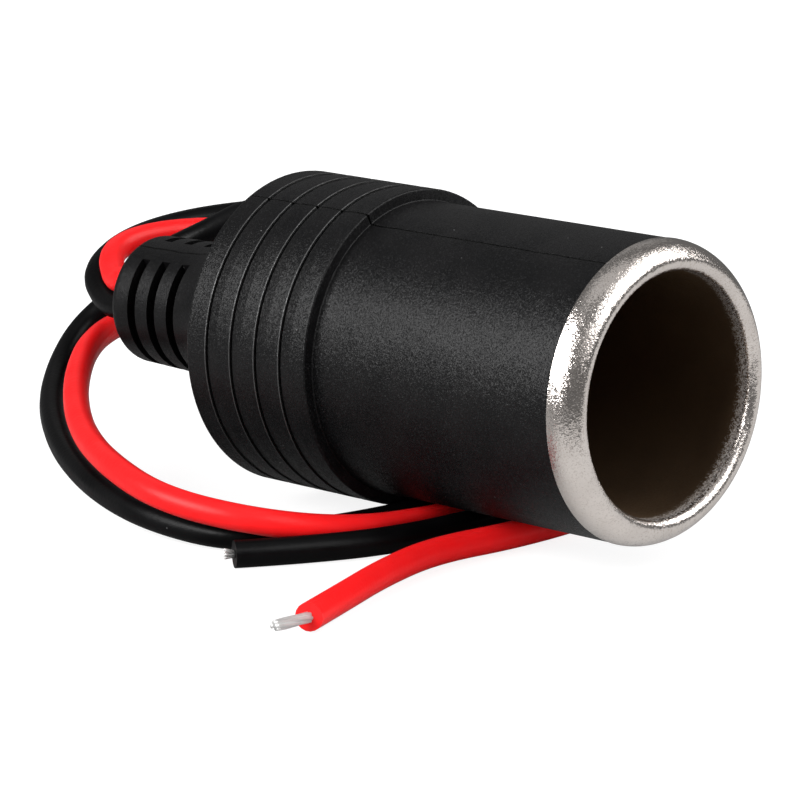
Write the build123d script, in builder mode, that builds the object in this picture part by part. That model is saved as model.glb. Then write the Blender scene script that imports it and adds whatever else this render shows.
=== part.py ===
"""Car 12 V power socket: a moulded body on a drawn shell with a rolled lip, and two free leads.

Frame: +X along the bore axis and out of the mouth, +Z up, origin on the axis in the mouth's plane.
Lengths are millimetres, angles degrees. Places along the axis are distances back from the mouth.
"""
import os
from math import asin, degrees, radians, tan

from build123d import *

os.makedirs("parts", exist_ok=True)

# Shell: drawn sheet with a rolled lip, a plug bore and a narrower contact well
bore_diameter = 21.0
bore_depth = 31.65
well_step = 2.1
well_depth = 5.0
shell_wall = 0.6
shell_bend = 0.3
lip_roll = 0.8
lip_depth = 2.65
lip_proud = 0.05

# Moulded body: barrel, ringed collar and slotted strain relief in one piece
mould_gap = 0.05
barrel_wall = 1.85
barrel_end_round = 0.15
collar_step = 1.05
collar_length = 14.7
collar_front_round = 0.2
collar_rear_round = 0.5
collar_root_round = 0.12
ring_pitch = 3.0
ring_groove_width = 0.2
ring_groove_depth = 0.3
ring_lead_in = 1.1
ring_lead_drop = 0.12
chamber_ledge = 1.2
rear_wall = 1.9
tail_length = 18.75
tail_taper = 0.25
tail_end_round = 1.0
neck_length = 9.15
neck_flare = 3.2
neck_root_round = 1.2
neck_blend = 12.0
slot_width = 1.05
slot_pitch = 2.65
slot_depth = 2.2
slot_core_wall = 0.95
slot_from_end = 2.6
slot_count = 3
spine_width = 3.0
mould_roll = 26.0

# Terminals on the shell's base
insulator_thickness = 1.6
insulator_gap = 0.1
boss_wall = 2.25
washer_lap = 0.8
washer_thickness = 1.0
contact_sheet = 0.5
contact_land = 0.4
contact_rise = 1.0
contact_flange = 1.8
rivet_diameter = 3.0
rivet_gap = 0.05
rivet_head_diameter = 5.6
rivet_head_height = 1.3
rivet_tail_diameter = 4.8
rivet_tail_height = 0.8
tag_sheet = 0.5
tag_width = 4.0
tag_land = 1.6
tag_corner = 1.0
tag_gap = 0.5
tag_to_washer = 0.3
solder_radius = 1.0

# Leads
lead_diameter = 2.4
lead_spacing = 0.6
conductor_diameter = 1.0
strand_to_rivet = 0.8
strand_bend = 0.8
strand_stub = 0.15
inner_lead_stand = 0.5
bend_share = 0.45
red_bare_length = 4.9
black_bare_length = 1.0
rest_gap = 0.15

# Leads, side by side in the strain relief
lead_radius = lead_diameter / 2
lead_offset = (lead_diameter + lead_spacing) / 2
conductor_radius = conductor_diameter / 2

# Radii of the shell and the body
bore_radius = bore_diameter / 2
shell_radius = bore_radius + shell_wall
well_radius = bore_radius - well_step
well_outer_radius = well_radius + shell_wall
barrel_radius = shell_radius + mould_gap + barrel_wall
collar_radius = barrel_radius + collar_step
lip_outer_radius = barrel_radius + lip_proud
flank_run = lip_depth - lip_roll
flank_rise = lip_outer_radius - bore_radius - 2 * lip_roll
flank_radius = lip_roll + (flank_run**2 + flank_rise**2) / (2 * flank_rise)
flank_turn = degrees(asin(flank_run / (flank_radius - lip_roll)))
slot_core_radius = lead_offset + lead_radius + mould_gap + slot_core_wall
tail_end_radius = slot_core_radius + slot_depth
tail_root_radius = tail_end_radius + tail_taper
neck_radius = tail_root_radius + neck_flare

# Radii of the terminals
rivet_radius = rivet_diameter / 2
rivet_hole_radius = rivet_radius + rivet_gap
rivet_head_radius = rivet_head_diameter / 2
rivet_tail_radius = rivet_tail_diameter / 2
boss_radius = rivet_hole_radius + boss_wall
base_hole_radius = boss_radius + insulator_gap
washer_radius = base_hole_radius + washer_lap
contact_top_radius = rivet_head_radius + contact_land
contact_foot_radius = contact_top_radius + contact_rise
contact_radius = contact_foot_radius + contact_flange
chamber_radius = well_outer_radius - chamber_ledge
tag_reach = chamber_radius - tag_gap
negative_tag_start = washer_radius + tag_to_washer

# Places along the axis, back from the mouth
well_floor = bore_depth + well_depth
insulator_front = well_floor - insulator_thickness
contact_top = insulator_front - contact_sheet - contact_rise
base_back = well_floor + shell_wall
washer_back = base_back + washer_thickness
positive_tag_back = washer_back + tag_sheet
negative_tag_back = base_back + tag_sheet
strand_place = positive_tag_back + rivet_tail_height + strand_to_rivet + conductor_radius
inner_lead_front = strand_place + strand_bend + strand_stub
chamber_back = inner_lead_front + inner_lead_stand
collar_back = chamber_back + rear_wall
collar_front = collar_back - collar_length
neck_back = collar_back + neck_length
tail_back = collar_back + tail_length

# The barrel lies on the leads, which lie on the floor
lead_floor = -(barrel_radius + rest_gap + lead_radius)


def corner_radii(route):
    """Return tangent arcs that take a set share of the shorter run beside each corner."""
    radii = []
    for before, corner, after in zip(route, route[1:], route[2:]):
        run_in = corner - before
        run_out = after - corner
        half_turn = radians(run_in.get_angle(run_out) / 2)
        radii.append(bend_share * min(run_in.length, run_out.length) / tan(half_turn))
    return radii


def lip_face(depth):
    """Draw the lip's front roll and flank at a depth into the sheet, and return the flank."""
    roll = CenterArc((-lip_roll, bore_radius + lip_roll), lip_roll - depth, -90, 180 - flank_turn)
    return JernArc(roll @ 1, roll % 1, flank_radius - depth, flank_turn)


# Socket shell: one sheet from the base hole, up the well and the bore, over the lip to its rear edge
with BuildPart() as socket_shell:
    with BuildSketch(Plane.XZ):
        with BuildLine():
            for depth in (0, shell_wall):
                FilletPolyline(
                    (-well_floor - depth, base_hole_radius),
                    (-well_floor - depth, well_radius + depth),
                    (-bore_depth - depth, well_radius + depth),
                    (-bore_depth - depth, bore_radius + depth),
                    (-lip_roll, bore_radius + depth),
                    radius=(shell_bend + depth, shell_bend + shell_wall - depth, shell_bend + depth),
                )
                lip_face(depth)
            Line((-well_floor, base_hole_radius), (-base_back, base_hole_radius))
            Line((-lip_depth, lip_outer_radius), (-lip_depth, lip_outer_radius - shell_wall))
        make_face()
    revolve(axis=Axis.X)
socket_shell.part.label = "socket_shell"
export_step(socket_shell.part, "parts/socket_shell.step")


# Moulded body: turned round the shell, with the shell's seat and the terminal chamber inside
with BuildPart() as moulded_body:
    seat_radius = shell_radius + mould_gap
    well_seat_radius = well_outer_radius + mould_gap
    shoulder_seat = bore_depth + shell_wall + mould_gap
    base_seat = base_back + mould_gap
    outline = [
        ((-lip_depth, lip_outer_radius - shell_wall - mould_gap), 0),
        ((-lip_depth, barrel_radius), barrel_end_round),
        ((-collar_front, barrel_radius), collar_root_round),
        ((-collar_front, collar_radius), collar_front_round),
        ((-collar_back, collar_radius), collar_rear_round),
        ((-collar_back, neck_radius), neck_root_round),
        ((-neck_back, tail_root_radius), neck_blend),
        ((-tail_back, tail_end_radius), tail_end_round),
        ((-tail_back, 0), 0),
        ((-chamber_back, 0), 0),
        ((-chamber_back, chamber_radius), 0),
        ((-base_seat, chamber_radius), 0),
        ((-base_seat, well_seat_radius), 0),
        ((-shoulder_seat, well_seat_radius), shell_bend - mould_gap),
        ((-shoulder_seat, seat_radius), 0),
        ((-lip_roll, seat_radius), 0),
    ]
    with BuildSketch(Plane.XZ):
        with BuildLine():
            FilletPolyline(
                *[point for point, _ in outline],
                radius=[corner for _, corner in outline[1:-1]],
            )
            lip_face(shell_wall + mould_gap)
        make_face()
    revolve(axis=Axis.X)

    # Rings round the collar: a square groove, then a faint lead-in up to the full diameter
    groove_count = int((collar_length - ring_pitch / 2) // ring_pitch)
    with BuildSketch(Plane.XZ):
        for ring in range(1, groove_count + 1):
            groove_front = -collar_front - ring * ring_pitch + ring_groove_width / 2
            with BuildLine():
                Polyline(
                    (groove_front - ring_groove_width, collar_radius + collar_step),
                    (groove_front - ring_groove_width, collar_radius - ring_groove_depth),
                    (groove_front, collar_radius - ring_groove_depth),
                    (groove_front, collar_radius - ring_lead_drop),
                    (groove_front + ring_lead_in, collar_radius),
                    (groove_front + ring_lead_in, collar_radius + collar_step),
                    close=True,
                )
            make_face()
    revolve(axis=Axis.X, mode=Mode.SUBTRACT)

    # Slots on both flanks of the strain relief, stopped square at the two spines
    for slot in range(slot_count):
        with BuildSketch(Plane.YZ.offset(slot_from_end + slot * slot_pitch - tail_back)):
            Circle(collar_radius)
            Circle(slot_core_radius, mode=Mode.SUBTRACT)
            Rectangle(spine_width, 2 * collar_radius, rotation=mould_roll, mode=Mode.SUBTRACT)
        extrude(amount=slot_width, mode=Mode.SUBTRACT)

    # Bores that the leads lie in
    with BuildSketch(Plane.YZ.offset(-tail_back)):
        with GridLocations(0, 2 * lead_offset, 1, 2):
            Circle(lead_radius + mould_gap)
    extrude(amount=tail_back - chamber_back, mode=Mode.SUBTRACT)
moulded_body.part.label = "moulded_body"
export_step(moulded_body.part, "parts/moulded_body.step")


# Base insulator: disc on the well's floor with a boss through the base hole
with BuildPart() as base_insulator:
    with BuildSketch(Plane.YZ.offset(-well_floor)):
        Circle(well_radius - shell_bend - insulator_gap)
    extrude(amount=insulator_thickness)
    with BuildSketch(Plane.YZ.offset(-base_back)):
        Circle(boss_radius)
    extrude(amount=shell_wall)
    with BuildSketch(Plane.YZ.offset(-base_back)):
        Circle(rivet_hole_radius)
    extrude(amount=shell_wall + insulator_thickness, mode=Mode.SUBTRACT)
base_insulator.part.label = "base_insulator"
export_step(base_insulator.part, "parts/base_insulator.step")


# Rear washer: insulates the positive tag from the shell's base
with BuildPart() as rear_washer:
    with BuildSketch(Plane.YZ.offset(-washer_back)):
        Circle(washer_radius)
        Circle(rivet_hole_radius, mode=Mode.SUBTRACT)
    extrude(amount=washer_thickness)
rear_washer.part.label = "rear_washer"
export_step(rear_washer.part, "parts/rear_washer.step")


# Centre contact: pressed cup that stands off the insulator and gives under the plug's tip
with BuildPart() as centre_contact:
    with BuildSketch(Plane.XZ):
        with BuildLine():
            Polyline(
                (-contact_top - contact_sheet, rivet_hole_radius),
                (-contact_top - contact_sheet, contact_top_radius),
                (-insulator_front, contact_foot_radius),
                (-insulator_front, contact_radius),
            )
            offset(amount=contact_sheet, side=Side.RIGHT)
        make_face()
    revolve(axis=Axis.X)
centre_contact.part.label = "centre_contact"
export_step(centre_contact.part, "parts/centre_contact.step")


# Centre rivet: domed head on the contact, shank through the insulators, tail set on the tag
with BuildPart() as centre_rivet:
    with BuildSketch(Plane.XZ):
        with BuildLine():
            TangentArc(
                (-contact_top + rivet_head_height, 0),
                (-contact_top, rivet_head_radius),
                tangent=(0, 1),
            )
            Polyline(
                (-contact_top, rivet_head_radius),
                (-contact_top, rivet_radius),
                (-positive_tag_back, rivet_radius),
                (-positive_tag_back, rivet_tail_radius),
                (-positive_tag_back - rivet_tail_height, rivet_tail_radius),
                (-positive_tag_back - rivet_tail_height, 0),
                (-contact_top + rivet_head_height, 0),
            )
        make_face()
    revolve(axis=Axis.X)
centre_rivet.part.label = "centre_rivet"
export_step(centre_rivet.part, "parts/centre_rivet.step")


# Positive tag: ring under the rivet's tail with a round-ended tongue for the red lead
with BuildPart() as positive_tag:
    tongue_height = tag_reach - tag_width / 2
    with BuildSketch(Plane.YZ.offset(-positive_tag_back)):
        Circle(rivet_tail_radius + tag_land)
        with Locations((0, tongue_height / 2)):
            Rectangle(tag_width, tongue_height)
        with Locations((0, tongue_height)):
            Circle(tag_width / 2)
        Circle(rivet_hole_radius, mode=Mode.SUBTRACT)
    extrude(amount=tag_sheet)
positive_tag.part.label = "positive_tag"
export_step(positive_tag.part, "parts/positive_tag.step")


# Negative tag: strip welded flat to the shell's base, clear of the washer
with BuildPart() as negative_tag:
    with BuildSketch(Plane.YZ.offset(-negative_tag_back)):
        with Locations((0, -(negative_tag_start + tag_reach) / 2)):
            Rectangle(tag_width, tag_reach - negative_tag_start)
        fillet(vertices().sort_by(Axis.Y)[:2], tag_corner)
    extrude(amount=tag_sheet)
negative_tag.part.label = "negative_tag"
export_step(negative_tag.part, "parts/negative_tag.step")


# Inside, each lead has its side of the axis, its tag's face and a place on that tag
terminals = {
    "red": (1, positive_tag_back, tag_reach - tag_width / 2),
    "black": (-1, negative_tag_back, (negative_tag_start + tag_reach) / 2),
}

for colour, (side, tag_back, tag_place) in terminals.items():
    # Insulated stretch inside the strain relief
    with BuildPart() as inner_lead:
        with BuildSketch(Plane.YZ.offset(-tail_back)):
            with Locations((0, side * lead_offset)):
                Circle(lead_radius)
        extrude(amount=tail_back - inner_lead_front)
    inner_lead.part.label = f"{colour}_inner_lead"
    export_step(inner_lead.part, f"parts/{colour}_inner_lead.step")

    # Stripped strands, turned across the chamber and then on to the tag
    with BuildPart() as inner_strands:
        with BuildLine(Plane.XZ) as strand_path:
            FilletPolyline(
                (-inner_lead_front, side * lead_offset),
                (-strand_place, side * lead_offset),
                (-strand_place, side * tag_place),
                (-tag_back, side * tag_place),
                radius=strand_bend,
            )
        with BuildSketch(Plane.YZ.offset(-inner_lead_front)):
            with Locations((0, side * lead_offset)):
                Circle(conductor_radius)
        sweep(path=strand_path.wire())
    inner_strands.part.label = f"{colour}_inner_strands"
    export_step(inner_strands.part, f"parts/{colour}_inner_strands.step")

    # Solder dome on the tag, round the strands
    with BuildPart() as solder_joint:
        with Locations((-tag_back, 0, side * tag_place)):
            Sphere(solder_radius)
        split(bisect_by=Plane.YZ.offset(-tag_back), keep=Keep.BOTTOM)
        add(inner_strands.part, mode=Mode.SUBTRACT)
    solder_joint.part.label = f"{colour}_solder_joint"
    export_step(solder_joint.part, f"parts/{colour}_solder_joint.step")


# Free leads: (along, across, height), along from the strain relief's end towards the mouth
red_route = [
    (0, 0, lead_offset),
    (-3.5, 0, lead_offset),
    (-7.3, 1.2, 1.1),
    (-10.3, 5.0, 1.4),
    (-11.0, 11.6, 3.2),
    (-6.8, 20.4, 4.9),
    (3.1, 27.7, 5.4),
    (14.5, 31.2, 3.2),
    (26.3, 29.8, -1.6),
    (35.1, 22.0, -6.4),
    (37.9, 10.2, lead_floor),
    (38.0, -2.5, lead_floor),
    (37.1, -12.2, -13.7),
    (33.7, -20.0, -12.0),
    (25.5, -23.2, -11.1),
    (14.9, -20.6, -10.6),
    (5.3, -15.2, -9.2),
    (-2.5, -8.4, -7.1),
    (-8.3, -1.2, -4.7),
    (-10.6, 8.6, -4.2),
    (-5.9, 17.6, -3.0),
    (3.1, 24, -3.2),
    (13.7, 29.6, -4.8),
    (24.8, 33.0, -8.6),
    (35.8, 30.0, -12.4),
    (43.5, 20.6, lead_floor),
    (46.4, 9, lead_floor),
    (46.8, -1.5, lead_floor),
    (45.4, -10.5, lead_floor),
    (47.5, -19, lead_floor),
    (50.5, -26.8, lead_floor),
    (53.2, -33.4, lead_floor),
]
black_route = [
    (0, 0, -lead_offset),
    (-3.5, 0, -lead_offset),
    (-8.3, 0.2, -1.3),
    (-12.3, 3.6, 0.4),
    (-13.9, 10.4, 2.6),
    (-10.1, 20.4, 4.7),
    (-0.5, 29.6, 6.0),
    (12.3, 34.6, 2.6),
    (24.7, 32.6, -4.2),
    (32.5, 22.8, -10.0),
    (35.0, 10.5, lead_floor),
    (35.1, -2.5, lead_floor),
    (33.9, -11.4, lead_floor),
    (29.5, -18.4, lead_floor),
    (20.9, -20.9, lead_floor),
    (10.7, -18.5, -13.9),
    (1.1, -13.2, -12.3),
    (-6.9, -7.2, -10.4),
    (-12.5, -1.2, -8.3),
    (-14.6, 3.4, -5.8),
    (-13.5, 6.4, -3.2),
    (-10.9, 7.8, -1.4),
    (-7.9, 9.2, 0.8),
    (-5.1, 11.6, 4.4),
    (-2.1, 15.8, 6.2),
    (4.7, 20.8, 5.2),
    (14.3, 25.2, -0.6),
    (24.8, 28.8, -9.4),
    (33.9, 25, -13.2),
    (40.5, 14.5, lead_floor),
    (41.3, 1.5, lead_floor),
    (40.7, -10, lead_floor),
    (36.9, -18.6, lead_floor),
    (34.0, -23, lead_floor),
]
free_leads = {
    "red": (red_route, red_bare_length),
    "black": (black_route, black_bare_length),
}

for colour, (offsets, bare_length) in free_leads.items():
    route = [Vector(along - tail_back, across, height) for along, across, height in offsets]
    radii = corner_radii(route)

    # Insulated lead along straight runs and tangent arcs
    with BuildPart() as lead:
        with BuildLine() as lead_path:
            FilletPolyline(*route, radius=radii)
        with BuildSketch(Plane(origin=route[0], z_dir=route[1] - route[0])):
            Circle(lead_radius)
        sweep(path=lead_path.wire())
    lead.part.label = f"{colour}_lead"
    export_step(lead.part, f"parts/{colour}_lead.step")

    # Stripped end, straight out of the insulation
    with BuildPart() as bare_end:
        with BuildSketch(Plane(origin=route[-1], z_dir=route[-1] - route[-2])):
            Circle(conductor_radius)
        extrude(amount=bare_length)
    bare_end.part.label = f"{colour}_bare_end"
    export_step(bare_end.part, f"parts/{colour}_bare_end.step")
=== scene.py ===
"""Looks of a car 12 V power socket with a moulded body, a rolled metal lip and two bare-ended leads.

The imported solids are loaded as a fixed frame, in metres: +X out of the socket's mouth, +Z up.
"""
import logging
import math
import random
from collections.abc import Sequence
from dataclasses import dataclass, field
from enum import Enum

import bmesh
import bpy
from mathutils import Matrix, Vector

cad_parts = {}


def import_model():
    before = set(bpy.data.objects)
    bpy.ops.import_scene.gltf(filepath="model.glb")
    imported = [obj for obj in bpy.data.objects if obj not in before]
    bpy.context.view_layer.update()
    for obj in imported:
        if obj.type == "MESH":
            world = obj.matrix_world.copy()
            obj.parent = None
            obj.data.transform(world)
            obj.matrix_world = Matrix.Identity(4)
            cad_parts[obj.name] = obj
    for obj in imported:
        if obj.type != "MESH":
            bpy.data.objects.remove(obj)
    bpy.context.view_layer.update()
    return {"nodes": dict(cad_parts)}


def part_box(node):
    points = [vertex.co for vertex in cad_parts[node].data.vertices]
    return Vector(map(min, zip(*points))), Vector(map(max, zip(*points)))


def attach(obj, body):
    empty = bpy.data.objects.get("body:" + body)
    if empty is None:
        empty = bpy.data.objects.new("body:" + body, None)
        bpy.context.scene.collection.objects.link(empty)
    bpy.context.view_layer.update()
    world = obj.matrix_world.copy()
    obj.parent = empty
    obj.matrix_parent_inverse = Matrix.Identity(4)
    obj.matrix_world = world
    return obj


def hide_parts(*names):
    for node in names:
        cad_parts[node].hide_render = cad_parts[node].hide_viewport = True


LOG = logging.getLogger("power_socket")
MM = 0.001
BODY = "root"
# Heights from the bore's axis and the leads' radius, in millimetres as their routes are.
FLOOR = -15.55
LEAD_RADIUS = 1.2
LAID = FLOOR + LEAD_RADIUS

WHITE = (1.0, 1.0, 1.0)
BLACK = (0.0, 0.0, 0.0)
# Places of a Mix node's colour sockets, which share their names with its other sockets.
MIX_COLOURS = (6, 7)
MIX_RESULT = 2
# Vector Math operations that give a number.
NUMBER_RESULTS = ("DOT_PRODUCT", "LENGTH")

Colour = tuple[float, float, float]
Point = tuple[float, float, float]
Span = tuple[float, float]
Output = bpy.types.NodeSocket
Value = Output | float | tuple[float, ...]


class Slot(Enum):
    """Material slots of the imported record."""

    MOULDING = "black_moulding"
    PLATE = "nickel_plate"
    BOARD = "insulator_board"
    BRASS = "brass_contact"
    TINNED = "tinned_copper"
    SOLDER = "solder"
    RED = "red_insulation"
    BLACK = "black_insulation"


class Graph:
    """Writer of shader nodes in one node tree."""

    def __init__(self, tree: bpy.types.NodeTree) -> None:
        """Take over the tree and empty it."""
        self.tree = tree
        tree.nodes.clear()

    def add(self, kind: str, **settings: object) -> bpy.types.Node:
        """Add a node.

        Args:
            kind: Blender's node type, without the ShaderNode prefix.
            settings: properties of the node, or inputs by their name with spaces as underscores.

        Returns:
            The new node.
        """
        prefix = "" if kind.startswith("NodeGroup") else "ShaderNode"
        node = self.tree.nodes.new(prefix + kind)
        for name, value in settings.items():
            if hasattr(node, name):
                setattr(node, name, value)
            else:
                self.feed(node.inputs[name.replace("_", " ")], value)
        return node

    def feed(self, socket: bpy.types.NodeSocket, value: Value) -> None:
        """Link a socket into an input, or set the input to a plain value.

        Args:
            socket: the input to feed.
            value: an output socket, a number, a colour or a vector.
        """
        if isinstance(value, bpy.types.NodeSocket):
            self.tree.links.new(value, socket)
        elif socket.type == "RGBA" and len(value) == 3:
            socket.default_value = (*value, 1.0)
        else:
            socket.default_value = value

    def math(self, operation: str, *values: Value, clamp: bool = False) -> Output:
        """Add a Math node.

        Args:
            operation: Blender's name of the operation.
            values: sockets or numbers for its inputs, in order.
            clamp: keep the result between 0 and 1.

        Returns:
            The result socket.
        """
        node = self.add("Math", operation=operation, use_clamp=clamp)
        for socket, value in zip(node.inputs, values):
            self.feed(socket, value)
        return node.outputs[0]

    def vector(self, operation: str, *values: Value) -> Output:
        """Add a Vector Math node.

        Args:
            operation: Blender's name of the operation.
            values: sockets, numbers or vectors for its inputs, in order.

        Returns:
            The result socket, a number for a dot product or a length.
        """
        node = self.add("VectorMath", operation=operation)
        for socket, value in zip(node.inputs, values):
            self.feed(socket, value)
        return node.outputs["Value" if operation in NUMBER_RESULTS else "Vector"]

    def axes(self, place: Output) -> bpy.types.NodeOutputs:
        """Split a coordinate and return its X, Y and Z sockets."""
        return self.add("SeparateXYZ", Vector=place).outputs

    def ramp(self, value: Output, low: float, high: float) -> Output:
        """Map a value smoothly from 0 at low to 1 at high, whichever of them is larger.

        Args:
            value: the socket to map.
            low: value that gives 0.
            high: value that gives 1.

        Returns:
            The mapped socket.
        """
        node = self.add("MapRange", interpolation_type="SMOOTHSTEP", Value=value)
        rising = low < high
        node.inputs["From Min"].default_value = low if rising else high
        node.inputs["From Max"].default_value = high if rising else low
        node.inputs["To Min"].default_value = 0.0 if rising else 1.0
        node.inputs["To Max"].default_value = 1.0 if rising else 0.0
        return node.outputs["Result"]

    def mix(self, factor: Output, first: Value, second: Value) -> Output:
        """Mix two colours.

        Args:
            factor: share of the second colour.
            first: a socket or three numbers.
            second: a socket or three numbers.

        Returns:
            The mixed colour socket.
        """
        node = self.add("Mix", data_type="RGBA", Factor=factor)
        for place, colour in zip(MIX_COLOURS, (first, second)):
            self.feed(node.inputs[place], colour)
        return node.outputs[MIX_RESULT]

    def blend(self, factor: Output, low: float, high: float) -> Output:
        """Mix two numbers by a factor socket and return the result."""
        return self.math("MULTIPLY_ADD", factor, high - low, low)

    def noise(self, **settings: object) -> Output:
        """Add a noise texture and return its value socket, around 0.5."""
        return self.add("TexNoise", **settings).outputs[0]

    def group(self, tree: bpy.types.NodeTree, **inputs: Value) -> bpy.types.NodeOutputs:
        """Place a node group.

        Args:
            tree: the group's tree.
            inputs: its inputs by name.

        Returns:
            The group's outputs.
        """
        node = self.add("Group", node_tree=tree)
        for name, value in inputs.items():
            self.feed(node.inputs[name], value)
        return node.outputs

    def seen_straight(self) -> Output:
        """Return a mask of what the camera sees itself, also through glass."""
        path = self.add("LightPath").outputs
        return self.math("ADD", path["Is Camera Ray"], path["Is Transmission Ray"], clamp=True)


def new_group(name: str, inputs: dict[str, float | None], outputs: dict[str, str]) -> bpy.types.NodeTree:
    """Make an empty shader node group with named sockets.

    Args:
        name: the group's name.
        inputs: input names with their default value, or None for a vector.
        outputs: output names with their kind, Float or Vector.

    Returns:
        The new tree.
    """
    tree = bpy.data.node_groups.new(name, "ShaderNodeTree")
    for label, value in inputs.items():
        kind = "NodeSocketVector" if value is None else "NodeSocketFloat"
        socket = tree.interface.new_socket(label, in_out="INPUT", socket_type=kind)
        if value is not None:
            socket.default_value = value
    for label, kind in outputs.items():
        tree.interface.new_socket(label, in_out="OUTPUT", socket_type=f"NodeSocket{kind}")
    return tree


@dataclass(frozen=True)
class SurfaceGrain:
    """Shared grain: a fine height, a cloudy mask, a random number for each grain, and tilted facets."""

    name: str = "surface_grain"
    fine_detail: float = 1.5
    fine_roughness: float = 0.6
    pit_smoothness: float = 0.6
    pit_share: float = 0.6
    cloud_detail: float = 3.0
    cloud_span: Span = (0.35, 0.65)
    middle: Colour = (0.5, 0.5, 0.5)

    def tree(self) -> bpy.types.NodeTree:
        """Build the group at its first use.

        Returns:
            The group's tree.
        """
        if self.name in bpy.data.node_groups:
            return bpy.data.node_groups[self.name]
        inputs = {"Place": None, "Normal": None, "Grain": 4000.0, "Cloud": 200.0, "Tilt": 0.2}
        outputs = {"Height": "Float", "Clouds": "Float", "Grit": "Float", "Facets": "Vector"}
        tree = new_group(self.name, inputs, outputs)
        graph = Graph(tree)
        source = graph.add("NodeGroupInput").outputs
        sink = graph.add("NodeGroupOutput").inputs
        graph.feed(sink["Height"], self.height(graph, source))
        slow = graph.noise(Vector=source["Place"], Scale=source["Cloud"], Detail=self.cloud_detail)
        graph.feed(sink["Clouds"], graph.ramp(slow, *self.cloud_span))
        grains = graph.add("TexVoronoi", Vector=source["Place"], Scale=source["Grain"]).outputs["Color"]
        graph.feed(sink["Grit"], graph.add("SeparateColor", Color=grains).outputs[0])
        # Each grain is a facet of its own: its random colour leans the normal.
        lean = graph.vector("MULTIPLY", graph.vector("SUBTRACT", grains, self.middle), source["Tilt"])
        leaning = graph.vector("ADD", source["Normal"], lean)
        graph.feed(sink["Facets"], graph.vector("NORMALIZE", leaning))
        return tree

    def height(self, graph: Graph, source: bpy.types.NodeOutputs) -> Output:
        """Add the fine height: soft pits on a noise.

        Args:
            graph: the group's graph.
            source: the group's inputs.

        Returns:
            The height socket.
        """
        place = {"Vector": source["Place"], "Scale": source["Grain"]}
        fine = graph.noise(**place, Detail=self.fine_detail, Roughness=self.fine_roughness)
        pits = graph.add("TexVoronoi", feature="SMOOTH_F1", **place, Smoothness=self.pit_smoothness)
        return graph.math("MULTIPLY_ADD", pits.outputs["Distance"], self.pit_share, fine)


@dataclass(frozen=True)
class DustSpecks:
    """Shared dust: a mask of a few specks, some brighter than others."""

    name: str = "dust_specks"

    def tree(self) -> bpy.types.NodeTree:
        """Build the group at its first use.

        Returns:
            The group's tree.
        """
        if self.name in bpy.data.node_groups:
            return bpy.data.node_groups[self.name]
        inputs = {"Place": None, "Spread": 600.0, "Share": 0.1, "Speck": 0.08}
        tree = new_group(self.name, inputs, {"Specks": "Float"})
        graph = Graph(tree)
        source = graph.add("NodeGroupInput").outputs
        sink = graph.add("NodeGroupOutput").inputs
        cells = graph.add("TexVoronoi", Vector=source["Place"], Scale=source["Spread"]).outputs
        chance, brightness, _ = graph.add("SeparateColor", Color=cells["Color"]).outputs
        near = graph.math("LESS_THAN", cells["Distance"], source["Speck"])
        chosen = graph.math("LESS_THAN", chance, source["Share"])
        specks = graph.math("MULTIPLY", graph.math("MULTIPLY", near, chosen), brightness)
        graph.feed(sink["Specks"], specks)
        return tree


class Surface(Graph):
    """A new material: a Principled shader, painted in Object coordinates."""

    def __init__(self, name: str) -> None:
        """Make the material and its shader.

        Args:
            name: the material's name.
        """
        self.material = bpy.data.materials.new(name)
        self.material.use_nodes = True
        super().__init__(self.material.node_tree)
        self.shader = self.add("BsdfPrincipled")
        self.add("OutputMaterial", Surface=self.shader.outputs["BSDF"])
        self.place = self.add("TexCoord").outputs["Object"]

    def paint(self, **inputs: Value) -> None:
        """Feed the shader's inputs, by their names with spaces as underscores."""
        for name, value in inputs.items():
            self.feed(self.shader.inputs[name.replace("_", " ")], value)

    def bump(self, height: Output, depth: float, facets: Output | None = None) -> None:
        """Put a bump on the shader.

        Args:
            height: height socket.
            depth: height of one unit, in metres.
            facets: normal socket to bump, or None for the plain surface.
        """
        node = self.add("Bump", Strength=1.0, Distance=depth, Height=height)
        if facets is not None:
            self.feed(node.inputs["Normal"], facets)
        self.paint(Normal=node.outputs["Normal"])

    def grain(self, **inputs: Value) -> bpy.types.NodeOutputs:
        """Place the shared grain, with its inputs by name, and return its outputs."""
        return self.group(SurfaceGrain().tree(), Place=self.place, **inputs)

    def dust(self, per_m: float, share: float, size: float) -> Output:
        """Place the shared dust.

        Args:
            per_m: cells per metre.
            share: share of the cells that hold a speck.
            size: radius of a speck, as a share of its cell.

        Returns:
            The mask socket.
        """
        group = self.group(DustSpecks().tree(), Place=self.place, Spread=per_m, Share=share, Speck=size)
        return group["Specks"]

    def square_off_axis(self) -> Output:
        """Work out the square of a point's distance from the bore's axis.

        Returns:
            The result socket.
        """
        parts = self.axes(self.place)
        across = self.math("MULTIPLY", parts["Y"], parts["Y"])
        return self.math("MULTIPLY_ADD", parts["Z"], parts["Z"], across)


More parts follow.
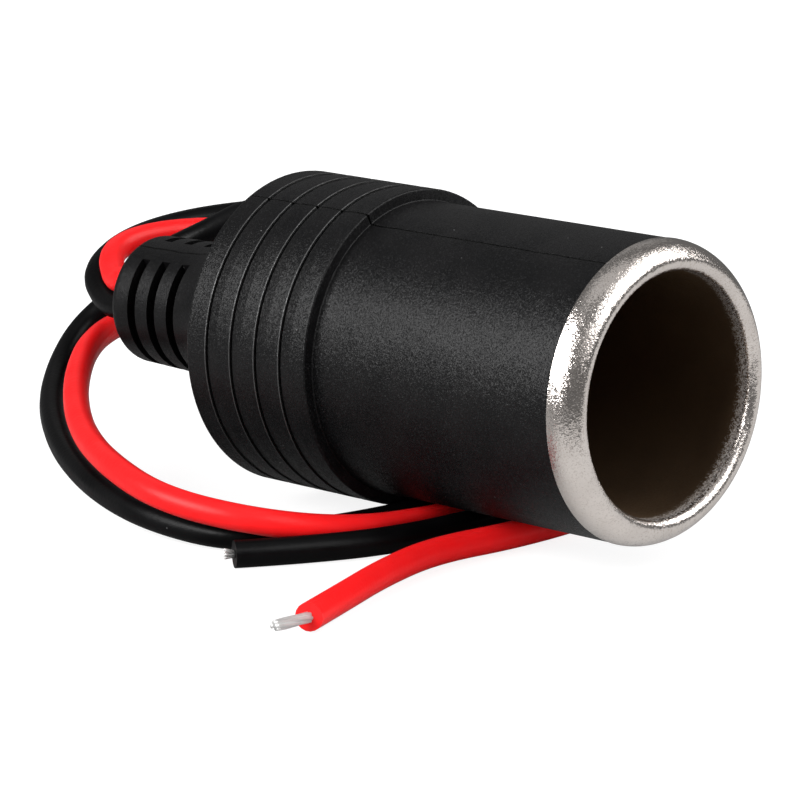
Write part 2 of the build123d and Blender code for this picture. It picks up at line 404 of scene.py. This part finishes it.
@dataclass(frozen=True)
class MouldedVinyl:
    """Soft black vinyl with a spark-eroded grain, painted glints and the mould's parting line."""

    name: str = "moulded_vinyl"
    black: Colour = (0.0024, 0.0024, 0.0027)
    bloom: Colour = (0.0045, 0.0043, 0.0046)
    # Painted highlight: the lighter colour of the grains that stand in for glints of light.
    painted_glint: Colour = (0.011, 0.011, 0.0115)
    burnish: Colour = (0.16, 0.16, 0.16)
    dust: Colour = (0.16, 0.16, 0.16)
    gloss: float = 0.22
    roughness: Span = (0.31, 0.44)
    grain_per_m: float = 10200.0
    grain_depth: float = 0.016 * MM
    grain_tilt: float = 0.26
    painted_glint_span: Span = (0.86, 1.0)
    cloud_per_m: float = 220.0
    dust_per_m: float = 1400.0
    dust_share: float = 0.03
    dust_size: float = 0.1
    tail_tilt: float = 0.1
    tail_front: Span = (-45.5 * MM, -43.5 * MM)
    ring_front: float = -29.5 * MM
    ring_pitch: float = 3.0 * MM
    ring_span: Span = (0.5, 4.5)
    ring_skin: float = 13.85 * MM
    edge_share: Span = (0.085, 0.035)
    edge_roll: float = 0.9
    line_half_width: float = 0.095 * MM
    line_edge: Span = (1.6, 0.4)
    line_depth: float = 3.0
    line_wander: float = 0.1 * MM
    wander_per_m: float = 330.0
    mould_roll: float = 26.0

    def material(self) -> bpy.types.Material:
        """Make the finish.

        Returns:
            The new material.
        """
        surface = Surface(self.name)
        edge = self.ring_edges(surface)
        line = self.parting_line(surface)
        flat = surface.add("NewGeometry").outputs["Normal"]
        # The rings' front edges are rounder than their solid, so their normals turn to the mouth.
        rolled = surface.vector("MULTIPLY_ADD", edge, (self.edge_roll, 0.0, 0.0), flat)
        ahead = surface.ramp(surface.axes(surface.place)["X"], *self.tail_front)
        tilt = surface.blend(ahead, self.tail_tilt, self.grain_tilt)
        grain = surface.grain(Normal=rolled, Grain=self.grain_per_m, Cloud=self.cloud_per_m, Tilt=tilt)
        specks = surface.dust(self.dust_per_m, self.dust_share, self.dust_size)
        tone = surface.mix(grain["Clouds"], self.black, self.bloom)
        # Painted highlights: the grains with the highest random number get a lighter colour, standing in
        # for glints.
        tone = surface.mix(surface.ramp(grain["Grit"], *self.painted_glint_span), tone, self.painted_glint)
        tone = surface.mix(specks, tone, self.dust)
        tone = surface.mix(edge, tone, self.burnish)
        # A black metal reflects next to nothing, so the parting line stays dark under every lamp.
        surface.paint(
            Base_Color=surface.mix(line, tone, BLACK),
            Metallic=surface.math("MAXIMUM", line, edge),
            Roughness=surface.blend(grain["Grit"], *self.roughness),
            Specular_IOR_Level=self.gloss,
        )
        height = surface.math("MULTIPLY_ADD", line, -self.line_depth, grain["Height"])
        surface.bump(height, self.grain_depth, grain["Facets"])
        return surface.material

    def ring_edges(self, surface: Surface) -> Output:
        """Mask the front edges of the collar's rings, rolled over and burnished by the mould.

        Args:
            surface: the material in the making.

        Returns:
            A mask socket, 1 on the edges.
        """
        behind = surface.math("SUBTRACT", self.ring_front, surface.axes(surface.place)["X"])
        rings = surface.math("DIVIDE", behind, self.ring_pitch)
        strip = surface.ramp(surface.math("FRACT", rings), *self.edge_share)
        first, last = self.ring_span
        after = surface.math("GREATER_THAN", rings, first)
        along = surface.math("MULTIPLY", after, surface.math("LESS_THAN", rings, last))
        outer = surface.math("GREATER_THAN", surface.square_off_axis(), self.ring_skin**2)
        return surface.math("MULTIPLY", strip, surface.math("MULTIPLY", along, outer))

    def parting_line(self, surface: Surface) -> Output:
        """Mask the mould's parting line, which wanders a little along the axis.

        Args:
            surface: the material in the making.

        Returns:
            A mask socket, 1 on the line.
        """
        parts = surface.axes(surface.place)
        roll = math.radians(self.mould_roll)
        side = surface.math("MULTIPLY", parts["Y"], math.cos(roll))
        distance = surface.math("MULTIPLY_ADD", parts["Z"], math.sin(roll), side)
        slow = surface.noise(noise_dimensions="1D", W=parts["X"], Scale=self.wander_per_m, Detail=1.0)
        wander = surface.blend(slow, -self.line_wander, self.line_wander)
        off = surface.math("ABSOLUTE", surface.math("ADD", distance, wander))
        outside, inside = self.line_edge
        return surface.ramp(off, outside * self.line_half_width, inside * self.line_half_width)


@dataclass(frozen=True)
class SatinNickel:
    """Satin plating with a sandy grain, and painted shade inside the bore."""

    name: str = "satin_nickel"
    bright: Colour = (0.87, 0.805, 0.76)
    dull: Colour = (0.81, 0.745, 0.70)
    sand: Colour = (0.72, 0.655, 0.605)
    # Painted shade: the dark brown colour that the bore's inside takes on, as shade deep in the recess.
    inside: Colour = (0.19, 0.125, 0.075)
    roughness: Span = (0.17, 0.2)
    inside_roughness: float = 0.4
    dull_metallic: float = 0.25
    grain_per_m: float = 9600.0
    grain_depth: float = 0.012 * MM
    grain_tilt: float = 0.2
    sand_span: Span = (0.7, 1.0)
    cloud_per_m: float = 300.0
    dull_span: Span = (-0.5 * MM, -1.2 * MM)
    painted_shade_span: Span = (-0.7 * MM, -1.8 * MM)
    fade_grain: float = 0.9 * MM
    skin_radius: float = 11.5 * MM

    def material(self) -> bpy.types.Material:
        """Make the finish.

        Returns:
            The new material.
        """
        surface = Surface(self.name)
        flat = surface.add("NewGeometry").outputs["Normal"]
        scales = {"Grain": self.grain_per_m, "Cloud": self.cloud_per_m}
        grain = surface.grain(Normal=flat, Tilt=self.grain_tilt, **scales)
        # Painted shade: deep in the bore the plate's colour goes to dark brown, fading in behind the
        # lip's roll.
        dark = self.bore_mask(surface, grain["Grit"], self.painted_shade_span)
        dulled = self.bore_mask(surface, grain["Grit"], self.dull_span)
        plate = surface.mix(grain["Clouds"], self.bright, self.dull)
        plate = surface.mix(surface.ramp(grain["Grit"], *self.sand_span), plate, self.sand)
        satin = surface.blend(grain["Clouds"], *self.roughness)
        surface.paint(
            Base_Color=surface.mix(dark, plate, self.inside),
            Metallic=surface.math("MAXIMUM", dark, surface.blend(dulled, 1.0, self.dull_metallic)),
            Roughness=surface.math("MULTIPLY_ADD", dark, self.inside_roughness, satin),
        )
        surface.bump(grain["Height"], self.grain_depth, grain["Facets"])
        return surface.material

    def bore_mask(self, surface: Surface, sand: Output, span: Span) -> Output:
        """Mask the inside of the bore, with a grainy edge behind the lip's roll.

        Args:
            surface: the material in the making.
            sand: random number of each grain.
            span: places along the axis where the mask starts and where it is full.

        Returns:
            A mask socket, 1 inside the bore.
        """
        edge = surface.blend(sand, -self.fade_grain / 2, self.fade_grain / 2)
        deep = surface.ramp(surface.math("ADD", surface.axes(surface.place)["X"], edge), *span)
        inner = surface.math("LESS_THAN", surface.square_off_axis(), self.skin_radius**2)
        return surface.math("MULTIPLY", deep, inner)


@dataclass(frozen=True)
class WireVinyl:
    """Extruded wire insulation with a soft gloss, which may let a little light through."""

    name: str
    tone: Colour
    shade: Colour
    dust: Colour
    mirrored: Colour
    gloss: float
    clearness: float = 0.0
    clear_depth: float = 0.9 * MM
    clear_share: Colour = (1.0, 0.3, 0.3)
    roughness: Span = (0.3, 0.4)
    grain_per_m: float = 2600.0
    grain_depth: float = 0.012 * MM
    cloud_per_m: float = 160.0
    dust_per_m: float = 900.0
    dust_share: float = 0.05
    dust_size: float = 0.07

    def material(self) -> bpy.types.Material:
        """Make the finish.

        Returns:
            The new material.
        """
        surface = Surface(self.name)
        grain = surface.grain(Grain=self.grain_per_m, Cloud=self.cloud_per_m)
        specks = surface.dust(self.dust_per_m, self.dust_share, self.dust_size)
        tone = surface.mix(grain["Clouds"], self.tone, self.shade)
        tone = surface.mix(specks, tone, self.dust)
        # A wire's mirror image in the barrel and the lip is dimmer than the wire.
        bounced = surface.add("LightPath").outputs["Is Glossy Ray"]
        surface.paint(
            Base_Color=surface.mix(bounced, tone, self.mirrored),
            Roughness=surface.blend(grain["Clouds"], *self.roughness),
            Specular_IOR_Level=self.gloss,
            Subsurface_Weight=self.clearness,
            Subsurface_Radius=self.clear_share,
            Subsurface_Scale=self.clear_depth,
        )
        surface.bump(grain["Height"], self.grain_depth)
        return surface.material


@dataclass(frozen=True)
class WorkedMetal:
    """Bare or tinned metal of the contacts, strands and solder."""

    name: str
    bright: Colour
    tarnish: Colour
    roughness: float
    tarnish_roughness: float = 0.12
    metallic: float = 1.0
    grain_per_m: float = 3500.0
    grain_depth: float = 0.01 * MM
    cloud_per_m: float = 600.0

    def material(self) -> bpy.types.Material:
        """Make the finish.

        Returns:
            The new material.
        """
        surface = Surface(self.name)
        grain = surface.grain(Grain=self.grain_per_m, Cloud=self.cloud_per_m)
        rough = self.roughness + self.tarnish_roughness
        surface.paint(
            Base_Color=surface.mix(grain["Clouds"], self.bright, self.tarnish),
            Metallic=self.metallic,
            Roughness=surface.blend(grain["Clouds"], self.roughness, rough),
        )
        surface.bump(grain["Height"], self.grain_depth)
        return surface.material


@dataclass(frozen=True)
class PressedBoard:
    """Brown pressed insulating board with a fibrous mottle."""

    name: str = "pressed_board"
    pale: Colour = (0.17, 0.085, 0.045)
    dark: Colour = (0.07, 0.035, 0.02)
    roughness: Span = (0.5, 0.8)
    cloud_per_m: float = 900.0
    fibre_per_m: float = 5000.0
    fibre_depth: float = 0.03 * MM
    fibre_stretch: Point = (1.0, 0.15, 1.0)

    def material(self) -> bpy.types.Material:
        """Make the finish.

        Returns:
            The new material.
        """
        surface = Surface(self.name)
        clouds = surface.grain(Cloud=self.cloud_per_m)["Clouds"]
        drawn = surface.add("Mapping", Vector=surface.place, Scale=self.fibre_stretch).outputs[0]
        fibres = surface.noise(Vector=drawn, Scale=self.fibre_per_m, Detail=2.0)
        mottle = surface.math("MULTIPLY", clouds, fibres, clamp=True)
        surface.paint(
            Base_Color=surface.mix(mottle, self.pale, self.dark),
            Roughness=surface.blend(fibres, *self.roughness),
        )
        surface.bump(fibres, self.fibre_depth)
        return surface.material


Finish = MouldedVinyl | SatinNickel | WireVinyl | WorkedMetal | PressedBoard
FINISHES: dict[Slot, Finish] = {
    Slot.MOULDING: MouldedVinyl(),
    Slot.PLATE: SatinNickel(),
    Slot.BOARD: PressedBoard(),
    Slot.BRASS: WorkedMetal(
        "stamped_brass",
        bright=(0.80, 0.60, 0.27),
        tarnish=(0.45, 0.30, 0.12),
        roughness=0.26,
    ),
    Slot.TINNED: WorkedMetal(
        "tinned_strands",
        bright=(0.95, 0.94, 0.93),
        tarnish=(0.80, 0.79, 0.78),
        roughness=0.36,
        metallic=0.6,
    ),
    Slot.SOLDER: WorkedMetal(
        "soft_solder",
        bright=(0.70, 0.70, 0.71),
        tarnish=(0.48, 0.48, 0.49),
        roughness=0.18,
    ),
    Slot.RED: WireVinyl(
        "red_vinyl",
        tone=(1.0, 0.016, 0.018),
        shade=(0.92, 0.012, 0.014),
        dust=(1.0, 0.4, 0.4),
        mirrored=(0.25, 0.004, 0.005),
        gloss=0.22,
        clearness=0.6,
    ),
    Slot.BLACK: WireVinyl(
        "black_vinyl",
        tone=(0.0015, 0.0015, 0.0017),
        shade=(0.003, 0.003, 0.0033),
        dust=(0.09, 0.09, 0.09),
        mirrored=(0.001, 0.001, 0.001),
        gloss=0.13,
    ),
}


class Wardrobe:
    """Makes each finish once and puts it on pieces."""

    def __init__(self) -> None:
        """Start with no material made."""
        self.made: dict[Slot, bpy.types.Material] = {}

    def dress(self, piece: bpy.types.Object, slot: Slot) -> None:
        """Give a piece the one material of a slot.

        Args:
            piece: a mesh or a curve.
            slot: the record's slot.
        """
        if slot not in self.made:
            self.made[slot] = FINISHES[slot].material()
        piece.data.materials.clear()
        piece.data.materials.append(self.made[slot])


def link_object(name: str, data: bpy.types.ID) -> bpy.types.Object:
    """Put a new object into the scene, at the origin.

    Args:
        name: the object's name.
        data: its mesh, curve, lamp or camera.

    Returns:
        The linked object.
    """
    thing = bpy.data.objects.new(name, data)
    bpy.context.scene.collection.objects.link(thing)
    return thing


def link_mesh(shape: bmesh.types.BMesh, name: str) -> bpy.types.Object:
    """Turn a bmesh into a smooth-shaded object at the origin.

    Args:
        shape: the finished bmesh, which is freed.
        name: the new piece's name.

    Returns:
        The linked object.
    """
    mesh = bpy.data.meshes.new(name)
    shape.to_mesh(mesh)
    shape.free()
    mesh.polygons.foreach_set("use_smooth", [True] * len(mesh.polygons))
    return link_object(name, mesh)


@dataclass
class Socket:
    """The rigid socket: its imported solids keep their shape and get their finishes."""

    nodes: dict[str, bpy.types.Object]
    slots: dict[str, Slot] = field(
        default_factory=lambda: {
            "socket_shell": Slot.PLATE,
            "moulded_body": Slot.MOULDING,
            "base_insulator": Slot.BOARD,
            "rear_washer": Slot.BOARD,
            "centre_contact": Slot.BRASS,
            "centre_rivet": Slot.BRASS,
            "positive_tag": Slot.BRASS,
            "negative_tag": Slot.BRASS,
            "red_solder_joint": Slot.SOLDER,
            "black_solder_joint": Slot.SOLDER,
            "red_inner_strands": Slot.TINNED,
            "black_inner_strands": Slot.TINNED,
            "red_inner_lead": Slot.RED,
            "black_inner_lead": Slot.BLACK,
        }
    )

    def dress(self, wardrobe: Wardrobe) -> None:
        """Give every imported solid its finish.

        Args:
            wardrobe: maker of the materials.
        """
        for node, slot in self.slots.items():
            wardrobe.dress(self.nodes[node], slot)
            LOG.info("dressed %s as %s", node, slot.value)


@dataclass
class StrippedEnd:
    """Stripped end of a lead: tinned strands twisted round each other, or a short frayed tuft."""

    strands: int
    strand_radius: float
    bundle_radius: float
    length: float
    twist: float
    splay: float
    seed: int
    reach_share: Span = (0.9, 1.0)
    lean_share: Span = (0.2, 1.0)
    steps: int = 14
    sides: int = 10

    def build(self, name: str, start: Vector, along: Vector) -> bpy.types.Object:
        """Model the strands from the end of the insulation.

        Args:
            name: the piece's name.
            start: centre of the insulation's cut face.
            along: direction of the lead there.

        Returns:
            The new piece.
        """
        luck = random.Random(self.seed)
        shape = bmesh.new()
        # The first strand is the bundle's core, and the others stand in a ring round it.
        for index in range(self.strands):
            angle = 2 * math.pi * index / (self.strands - 1)
            centre = Vector((0.0, 0.0, 0.0))
            if index:
                centre = self.bundle_radius * Vector((math.cos(angle), math.sin(angle), 0.0))
            self.grow(shape, centre, luck)
        turn = along.to_track_quat("Z", "Y").to_matrix().to_4x4()
        bmesh.ops.transform(shape, matrix=Matrix.Translation(start) @ turn, verts=shape.verts)
        bmesh.ops.recalc_face_normals(shape, faces=shape.faces)
        return link_mesh(shape, name)

    def grow(self, shape: bmesh.types.BMesh, centre: Vector, luck: random.Random) -> None:
        """Extrude one strand step by step, turning it about the bundle's axis.

        Args:
            shape: bmesh that takes the strand.
            centre: the strand's place in the bundle.
            luck: source of its unevenness.
        """
        reach = self.length * luck.uniform(*self.reach_share)
        lean = self.splay * luck.uniform(*self.lean_share)
        ring = bmesh.ops.create_circle(
            shape,
            cap_ends=True,
            radius=self.strand_radius,
            segments=self.sides,
            matrix=Matrix.Translation(centre),
        )
        face = next(face for face in shape.faces if ring["verts"][0] in face.verts)
        outward = centre.normalized() if centre.length > 0 else Vector((0.0, 0.0, 0.0))
        turn = Matrix.Rotation(self.twist / self.steps, 3, "Z")
        for _ in range(self.steps):
            grown = bmesh.ops.extrude_face_region(shape, geom=[face])
            verts = [item for item in grown["geom"] if isinstance(item, bmesh.types.BMVert)]
            face = next(item for item in grown["geom"] if isinstance(item, bmesh.types.BMFace))
            step = Vector((0.0, 0.0, reach / self.steps)) + outward * (lean / self.steps)
            bmesh.ops.translate(shape, verts=verts, vec=step)
            bmesh.ops.rotate(shape, verts=verts, cent=(0.0, 0.0, 0.0), matrix=turn)
            outward = turn @ outward


@dataclass
class Lead:
    """A free lead: a smooth cord along its route's control points, with its stripped end."""

    colour: str
    slot: Slot
    end: StrippedEnd
    length: float
    route: Sequence[Point]
    end_turn: float = 0.0
    diameter: float = 2 * LEAD_RADIUS * MM
    spline_steps: int = 12
    round_steps: int = 7

    def build(self, wardrobe: Wardrobe) -> None:
        """Args:
            wardrobe: maker of the materials.
        """
        exit_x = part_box("moulded_body")[0].x
        points = [Vector((exit_x, 0.0, 0.0)) + Vector(point) * MM for point in self.route]
        cord = self.cord(points)
        wardrobe.dress(cord, self.slot)
        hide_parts(f"{self.colour}_lead")
        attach(cord, BODY)
        along = Matrix.Rotation(math.radians(self.end_turn), 3, "Z") @ (points[-1] - points[-2])
        strands = self.end.build(f"{self.colour}_strands", points[-1], along)
        wardrobe.dress(strands, Slot.TINNED)
        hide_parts(f"{self.colour}_bare_end")
        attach(strands, BODY)
        LOG.info("laid %s with %s at its end", cord.name, strands.name)

    def cord(self, points: Sequence[Vector]) -> bpy.types.Object:
        """Make the cord as a round NURBS curve.

        Args:
            points: control points, in metres.

        Returns:
            The curve object.
        """
        curve = bpy.data.curves.new(f"{self.colour}_cord", "CURVE")
        curve.dimensions = "3D"
        spline = curve.splines.new("NURBS")
        spline.points.add(len(points) - 1)
        for target, point in zip(spline.points, points):
            target.co = (*point, 1.0)
        spline.order_u = 3
        spline.use_endpoint_u = True
        spline.resolution_u = self.spline_steps
        curve.bevel_depth = self.diameter / 2
        curve.bevel_resolution = self.round_steps
        curve.use_fill_caps = True
        return link_object(f"{self.colour}_cord", curve)


# The leads' control points, in millimetres from the middle of the strain relief's rear face: along the
# bore, across it and up. A lead that lies on the floor has its centre at LAID. Where the points leave
# the solids' route, most were moved by a fit to the photograph's edges.
RED_ROUTE = (
    (0.0, 0.0, 1.5), (-3.5, 0.0, 1.5), (-6.6, 1.0, 0.5), (-11.0, 4.4, 2.7),
    (-11.1, 11.6, 3.5), (-6.8, 20.3, 3.1), (3.1, 27.4, 1.6), (14.3, 29.4, 2.0),
    (26.3, 29.6, -3.2), (35.1, 22.0, -6.4), (37.9, 10.2, LAID), (38.0, -2.5, LAID),
    (37.1, -12.2, -13.7), (33.7, -20.0, -12.2), (25.5, -23.3, -11.0), (15.0, -20.1, -10.0),
    (5.6, -14.8, -9.1), (-2.3, -8.2, -7.1), (-8.0, -0.9, -4.9), (-11.2, 7.9, -4.3),
    (-5.9, 17.6, -3.0), (3.1, 24.0, -3.2), (13.7, 29.6, -4.8), (24.8, 33.0, -8.6),
    (35.8, 30.0, -12.4), (43.5, 20.6, LAID), (46.4, 9.0, LAID), (46.8, -1.5, LAID),
    (45.4, -10.5, LAID), (47.5, -19.0, LAID), (50.5, -26.8, LAID), (53.2, -33.4, -14.2),
)
BLACK_ROUTE = (
    (0.0, 0.0, -1.5), (-3.5, 0.0, -1.5), (-7.9, 1.1, -1.8), (-12.6, 3.5, 0.5),
    (-13.9, 10.4, 3.0), (-10.2, 20.3, 4.4), (0.4, 30.2, 4.9), (12.3, 34.6, 2.6),
    (24.7, 32.6, -4.2), (32.5, 22.8, -10.0), (35.0, 10.5, LAID), (35.1, -2.5, LAID),
    (33.9, -11.4, LAID), (30.6, -19.5, LAID), (20.9, -20.8, -13.8), (11.0, -17.9, -13.2),
    (1.3, -13.0, -12.2), (-6.9, -7.2, -10.4), (-12.4, -1.1, -8.3), (-14.6, 3.4, -5.8),
    (-13.5, 6.4, -3.2), (-10.9, 7.8, -1.4), (-8.6, 8.8, 1.9), (-5.0, 11.6, 4.1),
    (-2.2, 15.8, 6.6), (4.7, 20.8, 4.9), (14.3, 25.2, -1.0), (24.8, 28.8, -9.4),
    (33.9, 25.0, -13.2), (40.5, 14.5, LAID), (41.3, 1.5, LAID), (40.7, -10.0, LAID),
    (36.9, -18.6, LAID), (34.0, -23.0, LAID),
)


@dataclass(frozen=True)
class Softbox:
    """A soft studio lamp, with its sizes in metres and its power in watts."""

    name: str
    place: Point
    aim: Point
    width: float
    height: float
    power: float
    mirrored: bool = True

    def hang(self) -> None:
        """Hang the lamp and turn it to its aim."""
        light = bpy.data.lights.new(self.name, "AREA")
        light.shape = "RECTANGLE"
        light.size = self.width
        light.size_y = self.height
        light.energy = self.power
        lamp = link_object(self.name, light)
        lamp.visible_glossy = self.mirrored
        lamp.location = self.place
        lamp.rotation_euler = (Vector(self.aim) - Vector(self.place)).to_track_quat("-Z", "Y").to_euler()


SOFTBOXES = (
    Softbox("key", (-0.15, -0.41, 0.215), aim=(-0.02, 0.0, 0.0), width=0.46, height=0.26, power=3.4),
    Softbox("side", (0.33, 0.206, 0.389), aim=(-0.02, 0.0, 0.0), width=0.86, height=0.36, power=3.0),
    Softbox("front", (0.46, -0.22, 0.36), aim=(0.0, 0.0, 0.0), width=0.36, height=0.30, power=0.16),
    Softbox("back", (-0.36, 0.30, 0.34), aim=(-0.05, 0.0, 0.0), width=0.40, height=0.18, power=0.04),
    Softbox("top", (0.02, -0.02, 0.55), aim=(0.0, 0.0, 0.0), width=0.50, height=0.40, power=0.22),
    # This one lights matte surfaces only, such as the red lead's end, and has no mirror image.
    Softbox(
        "fill",
        (0.42, -0.10, 0.06),
        aim=(-0.01, -0.03, -0.01),
        width=0.24,
        height=0.16,
        power=1.0,
        mirrored=False,
    ),
)


@dataclass
class Studio:
    """White floor, soft lamps, pale world and the photograph's camera, its lens in millimetres."""

    floor_height: float = FLOOR * MM
    floor_reach: float = 6.0
    white_ring: Span = (0.05, 0.13)
    white_near: float = 0.86
    white_mirrored: float = 0.32
    paper_near: float = 0.26
    paper_front: float = 0.08
    front_way: Point = (0.64, -0.768, 0.0)
    front_edge: Span = (0.025, 0.075)
    mirror_edge: Span = (-0.016, 0.002)
    room_light: float = 0.13
    camera_place: Point = (0.221808, -0.266350, 0.075294)
    camera_azimuth: float = 43.558
    camera_elevation: float = 12.325
    camera_reach: Span = (0.01, 20.0)
    lens: float = 191.5
    sensor: float = 36.0

    def build(self) -> None:
        """Set up everything that isn't part of the object."""
        self.floor()
        for softbox in SOFTBOXES:
            softbox.hang()
        self.world()
        self.camera()
        bpy.context.scene.view_settings.view_transform = "Standard"
        LOG.info("set up the studio")

    def floor(self) -> None:
        """Lay a wide floor of white paper."""
        shape = bmesh.new()
        lay = Matrix.Translation((0.0, 0.0, self.floor_height))
        bmesh.ops.create_grid(shape, x_segments=1, y_segments=1, size=self.floor_reach, matrix=lay)
        piece = link_mesh(shape, "floor")
        piece.data.materials.append(self.paper())

    def paper(self) -> bpy.types.Material:
        """Make paper that stays white for the camera, keeps the object's shadow and mirrors dimly.

        Returns:
            The new material.
        """
        material = bpy.data.materials.new("white_floor")
        material.use_nodes = True
        graph = Graph(material.node_tree)
        place = graph.add("TexCoord").outputs["Object"]
        # The paper in front of the object throws less light up at it.
        gloom = graph.ramp(graph.vector("DOT_PRODUCT", place, self.front_way), *self.front_edge)
        tone = graph.mix(gloom, (self.paper_near,) * 3, (self.paper_front,) * 3)
        matte = graph.add("BsdfDiffuse", Color=tone)
        far = graph.ramp(graph.vector("LENGTH", place), *self.white_ring)
        white = graph.blend(graph.math("MAXIMUM", far, gloom), self.white_near, 1.0)
        # Only the lip's side of the floor shows in reflections, so the barrel's underside stays dark.
        beside = graph.ramp(graph.axes(place)["X"], *self.mirror_edge)
        glare = graph.math("MULTIPLY", beside, graph.blend(gloom, self.white_mirrored, 0.0))
        shiny = graph.math("MULTIPLY", graph.add("LightPath").outputs["Is Glossy Ray"], glare)
        strength = graph.math("MULTIPLY_ADD", graph.seen_straight(), white, shiny)
        glow = graph.add("Emission", Color=WHITE, Strength=strength)
        both = graph.add("AddShader")
        graph.feed(both.inputs[0], matte.outputs[0])
        graph.feed(both.inputs[1], glow.outputs[0])
        graph.add("OutputMaterial", Surface=both.outputs[0])
        return material

    def world(self) -> None:
        """Light the room: white for the camera, dimmer for the object's light and reflections."""
        world = bpy.data.worlds.new("studio")
        world.use_nodes = True
        graph = Graph(world.node_tree)
        strength = graph.blend(graph.seen_straight(), self.room_light, 1.0)
        room = graph.add("Background", Color=WHITE, Strength=strength)
        graph.add("OutputWorld", Surface=room.outputs[0])
        bpy.context.scene.world = world

    def camera(self) -> None:
        """Put the camera where the photograph was taken from."""
        data = bpy.data.cameras.new("photo_camera")
        data.lens = self.lens
        data.sensor_width = self.sensor
        data.clip_start, data.clip_end = self.camera_reach
        camera = link_object("photo_camera", data)
        camera.location = self.camera_place
        tilt = math.radians(90.0 - self.camera_elevation)
        camera.rotation_euler = (tilt, 0.0, math.radians(self.camera_azimuth))
        bpy.context.scene.camera = camera


def main() -> None:
    """Load the frame, dress the socket, lay the leads and set up the studio."""
    logging.basicConfig(level=logging.INFO, format="%(name)s: %(message)s")
    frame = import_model()
    wardrobe = Wardrobe()
    Socket(frame["nodes"]).dress(wardrobe)
    red_end = StrippedEnd(
        strands=7,
        strand_radius=0.18 * MM,
        bundle_radius=0.31 * MM,
        length=4.2 * MM,
        twist=1.3,
        splay=0.0,
        seed=3,
    )
    black_end = StrippedEnd(
        strands=8,
        strand_radius=0.1 * MM,
        bundle_radius=0.24 * MM,
        length=0.85 * MM,
        twist=0.3,
        splay=0.25 * MM,
        seed=5,
    )
    Lead("red", Slot.RED, red_end, length=0.3069, route=RED_ROUTE, end_turn=-20.0).build(wardrobe)
    Lead("black", Slot.BLACK, black_end, length=0.3005, route=BLACK_ROUTE).build(wardrobe)
    Studio().build()


if __name__ == "__main__":
    main()
